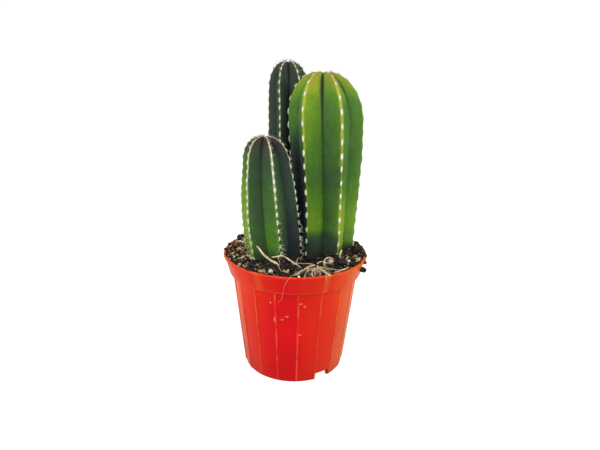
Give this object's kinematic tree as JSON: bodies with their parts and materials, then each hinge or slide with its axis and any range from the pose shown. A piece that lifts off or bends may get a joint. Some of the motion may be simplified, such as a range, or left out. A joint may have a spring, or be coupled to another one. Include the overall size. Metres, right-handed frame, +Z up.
{
  "type": "potted cactus",
  "caption": "Potted tall cactus: thick, short and slim six-ribbed columnar stems in potting mix, in a red ribbed plastic nursery pot with a flared rim",
  "frame": {"origin": "middle of the pot's base, on the surface that the pot stands on", "axes": "+Z up along the stems, -Y the front that shows the short stem on the left and the thick stem on the right, +X to the right of that front"},
  "size_m": [0.105, 0.1048, 0.2193],
  "materials": {
    "pot_plastic": "gloss",
    "potting_mix": "matte",
    "stem_green": "satin",
    "stem_dark_green": "satin",
    "stem_shade_green": "satin",
    "dry_root": "matte",
    "bark": "matte",
    "perlite": "matte"
  },
  "bodies": {
    "root": {"pot": "pot_plastic", "soil": "potting_mix", "stem_thick": "stem_green", "stem_short": "stem_dark_green", "stem_tall": "stem_shade_green", "root_long": "dry_root", "root_splinter": "dry_root", "root_spray_left": "dry_root", "root_spray_front": "dry_root", "root_spray_right": "dry_root", "root_spray_back": "dry_root", "root_rim_right": "dry_root", "root_curl_left": "dry_root", "root_sliver_right": "dry_root", "root_loop_right": "dry_root", "bark_chip_left": "bark", "bark_chip_rim_left": "bark", "bark_chip_front": "bark", "bark_chip_right": "bark", "bark_chip_yellow": "bark", "bark_chip_back": "bark", "soil_clod_left": "potting_mix", "soil_clod_front_left": "potting_mix", "soil_clod_front": "potting_mix", "soil_clod_front_right": "potting_mix", "soil_clod_right": "potting_mix", "soil_clod_rim_right": "potting_mix", "soil_clod_back": "potting_mix", "perlite_grain_left": "perlite", "perlite_grain_front": "perlite", "perlite_grain_right": "perlite", "perlite_grain_back": "perlite"}
  },
  "joints": []
}
